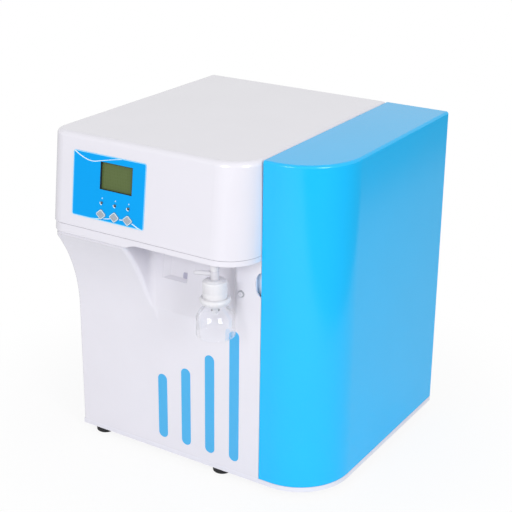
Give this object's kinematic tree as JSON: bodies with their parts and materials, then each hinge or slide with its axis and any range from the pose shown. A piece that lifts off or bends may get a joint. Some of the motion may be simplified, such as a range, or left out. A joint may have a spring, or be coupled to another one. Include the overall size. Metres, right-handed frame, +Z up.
{
  "type": "ultrapure water system",
  "caption": "Benchtop ultrapure water system: leaning hood with display and buttons, dispensing alcove with filter capsule and bell, hinged side door over the cartridges.",
  "frame": {"origin": "middle of the footprint on the bench, under the feet", "axes": "+Z up, -Y towards the user, +X towards the side door"},
  "size_m": [0.445, 0.442, 0.506],
  "materials": {
    "white_moulding": "glossy moulded ABS",
    "blue_moulding": "glossy moulded ABS",
    "base_moulding": "satin moulded ABS",
    "blue_inlay": "glossy moulded strip",
    "black_rubber": "matt",
    "zinc_steel": "zinc plated",
    "panel_sheet": "powder coat",
    "overlay_film": "satin polyester film",
    "display_module": "glass faced module",
    "circuit_board": "solder mask",
    "button_cap": "satin",
    "lamp_lens": "tinted lens",
    "clear_bell": "clear polycarbonate",
    "capsule_shell": "glossy polypropylene",
    "white_plastic": "satin",
    "cartridge_shell": "glossy polypropylene",
    "black_plastic": "satin",
    "stainless_tube": "brushed",
    "cast_aluminium": "as cast",
    "clear_tube": "polyethylene tube",
    "magnet": "nickel plated",
    "collet_plastic": "acetal"
  },
  "bodies": {
    "cabinet": {"base_pan": "base_moulding", "board_pillars": "white_plastic", "booster_pump": "cast_aluminium", "bulkhead": "panel_sheet", "button_contacts": "black_plastic", "cartridge_clips": "black_plastic", "catch_magnets": "magnet", "circulation_pump": "cast_aluminium", "conductivity_cell": "black_plastic", "control_board": "circuit_board", "control_overlay": "overlay_film", "display_board": "circuit_board", "fan_frame": "black_plastic", "fan_guard": "stainless_tube", "feet": "black_rubber", "filter_manifold": "white_plastic", "foot_screws": "zinc_steel", "front_panel": "white_moulding", "front_stripes": "blue_inlay", "hinge_pins": "zinc_steel", "housing_saddles": "black_plastic", "indicator_lamps": "lamp_lens", "inlet_pins": "zinc_steel", "internal_tubing": "clear_tube", "lcd_module": "display_module", "left_side_panel": "panel_sheet", "membrane_housing": "white_plastic", "outlet_pipe": "white_plastic", "panel_screw": "zinc_steel", "partition": "panel_sheet", "power_inlet": "black_plastic", "power_supply": "cast_aluminium", "pump_mounts": "black_rubber", "rear_panel": "panel_sheet", "rear_ports": "white_plastic", "sensor_niche": "white_moulding", "solenoid_valves": "black_plastic", "switch_housing": "black_plastic", "top_shell": "white_moulding", "ultraviolet_reactor": "stainless_tube", "upper_hinge_bracket": "zinc_steel"},
    "side_door": {"side_door": "blue_moulding", "strike_plate": "zinc_steel"},
    "tap_lever": {"tap_lever": "white_plastic"},
    "final_filter": {"filter_capsule": "capsule_shell", "capsule_ring": "capsule_shell", "filling_bell": "clear_bell"},
    "fuse_drawer": {"fuse_drawer": "black_plastic", "fuse": "clear_tube"},
    "power_rocker": {"power_rocker": "black_plastic"},
    "fan_rotor": {"fan_rotor": "black_plastic"},
    "button_1": {"button_1": "button_cap"},
    "cartridge_1": {"cartridge_1": "cartridge_shell"},
    "button_2": {"button_2": "button_cap"},
    "cartridge_2": {"cartridge_2": "cartridge_shell"},
    "button_3": {"button_3": "button_cap"},
    "cartridge_3": {"cartridge_3": "cartridge_shell"},
    "port_collet_1": {"port_collet_1": "collet_plastic"},
    "port_collet_2": {"port_collet_2": "collet_plastic"}
  },
  "joints": [
    {"name": "side_door_hinge", "type": "hinge", "parent": "cabinet", "child": "side_door", "pos_m": [0.21552, 0.195, 0.251], "axis": [0, 0, 1], "range_deg": [0, 105]},
    {"name": "button_1_press", "type": "slide", "parent": "cabinet", "child": "button_1", "axis": [0, 0.9899, -0.1418], "range_m": [0, 0.001], "stiffness_N_per_m": 600},
    {"name": "button_2_press", "type": "slide", "parent": "cabinet", "child": "button_2", "axis": [0, 0.9899, -0.1418], "range_m": [0, 0.001], "stiffness_N_per_m": 600},
    {"name": "button_3_press", "type": "slide", "parent": "cabinet", "child": "button_3", "axis": [0, 0.9899, -0.1418], "range_m": [0, 0.001], "stiffness_N_per_m": 600},
    {"name": "tap_lever_turn", "type": "hinge", "parent": "cabinet", "child": "tap_lever", "pos_m": [0.06412, -0.193, 0.3446], "axis": [0, 0, 1], "range_deg": [-30, 60]},
    {"name": "final_filter_pull", "type": "slide", "parent": "cabinet", "child": "final_filter", "axis": [0, 0, -1], "range_m": [0, 0.014]},
    {"name": "cartridge_1_turn", "type": "hinge", "parent": "cabinet", "child": "cartridge_1", "pos_m": [0.16952, -0.087, 0.335], "axis": [0, 0, 1], "range_deg": [0, 45]},
    {"name": "cartridge_2_turn", "type": "hinge", "parent": "cabinet", "child": "cartridge_2", "pos_m": [0.16952, 0.013, 0.335], "axis": [0, 0, 1], "range_deg": [0, 45]},
    {"name": "cartridge_3_turn", "type": "hinge", "parent": "cabinet", "child": "cartridge_3", "pos_m": [0.16952, 0.113, 0.335], "axis": [0, 0, 1], "range_deg": [0, 45]},
    {"name": "port_collet_1_press", "type": "slide", "parent": "cabinet", "child": "port_collet_1", "axis": [0, -1, 0], "range_m": [0, 0.0012]},
    {"name": "port_collet_2_press", "type": "slide", "parent": "cabinet", "child": "port_collet_2", "axis": [0, -1, 0], "range_m": [0, 0.0012]},
    {"name": "fuse_drawer_pull", "type": "slide", "parent": "cabinet", "child": "fuse_drawer", "axis": [0, 1, 0], "range_m": [0, 0.016]},
    {"name": "power_rocker_tilt", "type": "hinge", "parent": "cabinet", "child": "power_rocker", "pos_m": [-0.15548, 0.199, 0.119], "axis": [1, 0, 0], "range_deg": [0, 20]},
    {"name": "fan_rotor_spin", "type": "hinge", "parent": "cabinet", "child": "fan_rotor", "pos_m": [-0.12548, 0.187, 0.419], "axis": [0, 1, 0], "continuous": true}
  ]
}
